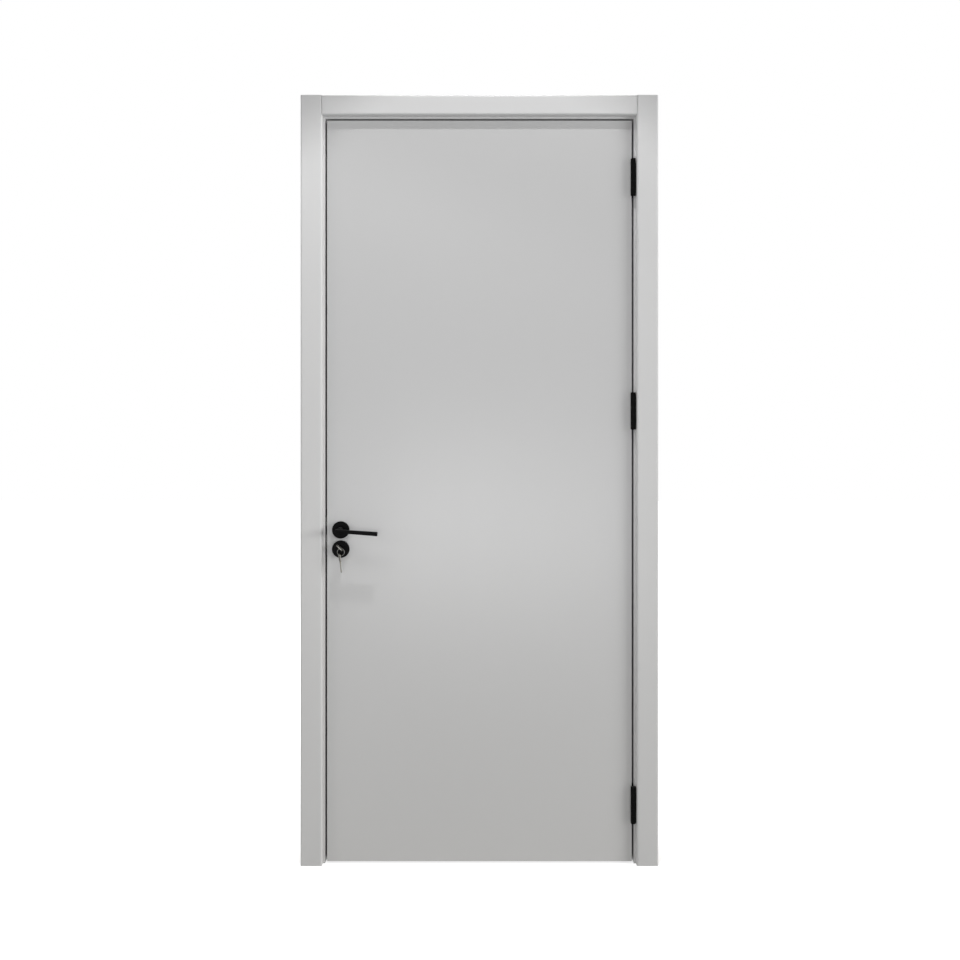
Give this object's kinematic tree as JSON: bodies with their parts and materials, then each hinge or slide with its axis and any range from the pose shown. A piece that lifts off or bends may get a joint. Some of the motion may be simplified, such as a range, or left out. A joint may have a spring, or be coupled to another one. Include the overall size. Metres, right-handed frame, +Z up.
{
  "type": "flush door",
  "caption": "Painted flush door in its lining with casings, black butt hinges, lever handles on round roses and a keyed cylinder lock with hanging spare key.",
  "frame": {"origin": "on the outer face of the hinge-side lining, at floor level, halfway through the wall", "axes": "+X from the lock edge to the hinge edge, -Y the side that the leaf opens towards, +Z up"},
  "size_m": [0.992, 0.194, 2.136],
  "materials": {
    "painted_frame": "satin pale grey-white paint on board",
    "painted_leaf": "satin pale grey-white paint on a smooth skin",
    "core_board": "raw core board, not seen",
    "seal_rubber": "matt grey seal",
    "black_metal": "matt black powder coat",
    "lock_steel": "brushed steel",
    "key_nickel": "dull nickel plated brass"
  },
  "bodies": {
    "frame": {"lining_hinge_side": "painted_frame", "lining_lock_side": "painted_frame", "lining_head": "painted_frame", "stop_hinge_side": "painted_frame", "stop_lock_side": "painted_frame", "stop_head": "painted_frame", "front_casing_hinge_side": "painted_frame", "front_casing_lock_side": "painted_frame", "front_casing_head": "painted_frame", "back_casing_hinge_side": "painted_frame", "back_casing_lock_side": "painted_frame", "back_casing_head": "painted_frame", "seal_hinge_side": "seal_rubber", "seal_lock_side": "seal_rubber", "seal_head": "seal_rubber", "hinge_lining_plate_top": "black_metal", "hinge_pin_top": "black_metal", "hinge_lining_plate_middle": "black_metal", "hinge_pin_middle": "black_metal", "hinge_lining_plate_bottom": "black_metal", "hinge_pin_bottom": "black_metal", "strike_plate": "lock_steel"},
    "leaf": {"leaf_front_skin": "painted_leaf", "leaf_back_skin": "painted_leaf", "lock_stile": "painted_leaf", "hinge_stile": "painted_leaf", "top_rail": "painted_leaf", "bottom_rail": "painted_leaf", "leaf_core": "core_board", "hinge_leaf_plate_top": "black_metal", "hinge_leaf_plate_middle": "black_metal", "hinge_leaf_plate_bottom": "black_metal", "lock_case": "lock_steel", "lock_forend": "lock_steel", "latch_bolt": "lock_steel", "dead_bolt": "lock_steel", "front_lever_rose": "black_metal", "back_lever_rose": "black_metal", "front_key_rose": "black_metal", "back_key_rose": "black_metal", "lock_cylinder": "black_metal"},
    "lever_handles": {"front_lever": "black_metal", "back_lever": "black_metal", "spindle": "lock_steel"},
    "turned_key": {"key": "key_nickel", "cylinder_plug": "black_metal"},
    "hanging_ring": {"key_ring": "key_nickel", "spare_key": "key_nickel"}
  },
  "joints": [
    {"name": "leaf_swing", "type": "hinge", "parent": "frame", "child": "leaf", "pos_m": [-0.0425, -0.068, 0], "axis": [0, 0, 1], "range_deg": [0, 120]},
    {"name": "lever_turn", "type": "hinge", "parent": "leaf", "child": "lever_handles", "pos_m": [-0.856, -0.06, 0.93], "axis": [0, 1, 0], "range_deg": [0, 45], "stiffness_Nm_per_rad": 1, "springref_deg": -28.65},
    {"name": "key_turn", "type": "hinge", "parent": "leaf", "child": "turned_key", "pos_m": [-0.856, -0.072, 0.8825], "axis": [0, 1, 0], "range_deg": [-43.5, 136.5]},
    {"name": "ring_hang", "type": "hinge", "parent": "turned_key", "child": "hanging_ring", "pos_m": [-0.84967, -0.09025, 0.87649], "axis": [0, 1, 0], "range_deg": [-136.5, 43.5]}
  ],
  "couplings": [
    {"joint": "ring_hang", "follows": "key_turn", "ratio": -1}
  ]
}
